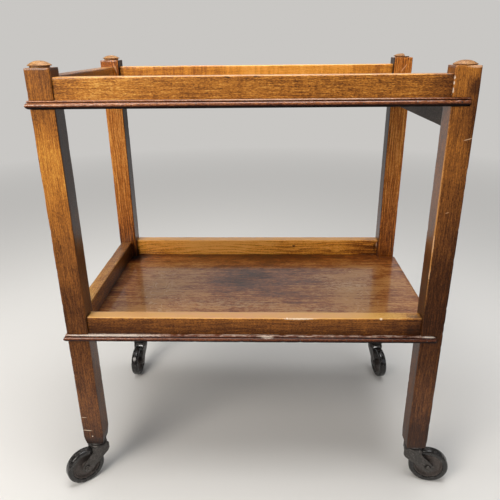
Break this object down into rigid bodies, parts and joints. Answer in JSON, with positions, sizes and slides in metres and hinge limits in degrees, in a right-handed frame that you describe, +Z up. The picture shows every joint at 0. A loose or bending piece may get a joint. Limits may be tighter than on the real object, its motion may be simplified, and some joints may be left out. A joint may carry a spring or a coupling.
{
  "type": "tea trolley",
  "caption": "Two-tier wooden tea trolley: square posts with turned caps, railed trays open at one end, half-round beads and swivel castors.",
  "frame": {"origin": "the floor point under the middle of the whole trolley's box at rest, castors included", "axes": "+X along the trays towards their open end, +Y from front to back, +Z up"},
  "size_m": [0.7008, 0.4208, 0.7412],
  "materials": {
    "post_wood": "worn dark varnish",
    "rail_wood": "worn golden-brown varnish",
    "panel_wood": "glossy red-brown varnish",
    "bead_wood": "dark varnish, rubbed on its edges",
    "cap_wood": "rubbed to bare wood",
    "screw_steel": "dull steel",
    "castor_steel": "dark worn paint",
    "wheel_disc": "dark worn paint, rusty brown",
    "tyre_rubber": "smooth black rubber"
  },
  "bodies": {
    "frame": {"post_front_left": "post_wood", "cap_front_left": "cap_wood", "castor_front_left_stem": "castor_steel", "castor_front_left_washer": "castor_steel", "post_front_right": "post_wood", "cap_front_right": "cap_wood", "castor_front_right_stem": "castor_steel", "castor_front_right_washer": "castor_steel", "post_back_left": "post_wood", "cap_back_left": "cap_wood", "castor_back_left_stem": "castor_steel", "castor_back_left_washer": "castor_steel", "post_back_right": "post_wood", "cap_back_right": "cap_wood", "castor_back_right_stem": "castor_steel", "castor_back_right_washer": "castor_steel", "top_panel": "panel_wood", "top_rail_front": "rail_wood", "top_rail_back": "rail_wood", "top_rail_left": "rail_wood", "top_apron_right": "rail_wood", "top_bead_front": "bead_wood", "top_bead_back": "bead_wood", "top_bead_left": "bead_wood", "lower_panel": "panel_wood", "lower_rail_front": "rail_wood", "lower_rail_back": "rail_wood", "lower_rail_left": "rail_wood", "lower_batten_right": "rail_wood", "lower_bead_front": "bead_wood", "lower_bead_back": "bead_wood", "lower_bead_left": "bead_wood", "top_screw_front_1": "screw_steel", "top_screw_front_2": "screw_steel", "top_screw_back_1": "screw_steel", "top_screw_back_2": "screw_steel", "top_screw_left_1": "screw_steel", "top_screw_left_2": "screw_steel", "lower_screw_front_1": "screw_steel", "lower_screw_front_2": "screw_steel", "lower_screw_back_1": "screw_steel", "lower_screw_back_2": "screw_steel", "lower_screw_left_1": "screw_steel", "lower_screw_left_2": "screw_steel"},
    "castor_front_left": {"castor_front_left_horn": "castor_steel", "castor_front_left_axle": "castor_steel"},
    "wheel_front_left": {"castor_front_left_wheel": "wheel_disc", "castor_front_left_tyre": "tyre_rubber"},
    "castor_front_right": {"castor_front_right_horn": "castor_steel", "castor_front_right_axle": "castor_steel"},
    "wheel_front_right": {"castor_front_right_wheel": "wheel_disc", "castor_front_right_tyre": "tyre_rubber"},
    "castor_back_left": {"castor_back_left_horn": "castor_steel", "castor_back_left_axle": "castor_steel"},
    "wheel_back_left": {"castor_back_left_wheel": "wheel_disc", "castor_back_left_tyre": "tyre_rubber"},
    "castor_back_right": {"castor_back_right_horn": "castor_steel", "castor_back_right_axle": "castor_steel"},
    "wheel_back_right": {"castor_back_right_wheel": "wheel_disc", "castor_back_right_tyre": "tyre_rubber"}
  },
  "joints": [
    {"name": "front_left_swivel", "type": "hinge", "parent": "frame", "child": "castor_front_left", "pos_m": [-0.29801, -0.16419, 0.0754], "axis": [0, 0, 1], "continuous": true},
    {"name": "front_left_roll", "type": "hinge", "parent": "castor_front_left", "child": "wheel_front_left", "pos_m": [-0.32056, -0.18352, 0.0347], "axis": [0.6508, -0.7593, 0], "continuous": true},
    {"name": "front_right_swivel", "type": "hinge", "parent": "frame", "child": "castor_front_right", "pos_m": [0.28649, -0.16419, 0.0754], "axis": [0, 0, 1], "continuous": true},
    {"name": "front_right_roll", "type": "hinge", "parent": "castor_front_right", "child": "wheel_front_right", "pos_m": [0.31555, -0.17032, 0.0347], "axis": [0.2062, 0.9785, 0], "continuous": true},
    {"name": "back_left_swivel", "type": "hinge", "parent": "frame", "child": "castor_back_left", "pos_m": [-0.29801, 0.18731, 0.0754], "axis": [0, 0, 1], "continuous": true},
    {"name": "back_left_roll", "type": "hinge", "parent": "castor_back_left", "child": "wheel_back_left", "pos_m": [-0.29988, 0.15767, 0.0347], "axis": [0.998, -0.0628, 0], "continuous": true},
    {"name": "back_right_swivel", "type": "hinge", "parent": "frame", "child": "castor_back_right", "pos_m": [0.28649, 0.18731, 0.0754], "axis": [0, 0, 1], "continuous": true},
    {"name": "back_right_roll", "type": "hinge", "parent": "castor_back_right", "child": "wheel_back_right", "pos_m": [0.29139, 0.15801, 0.0347], "axis": [0.9863, 0.165, 0], "continuous": true}
  ]
}
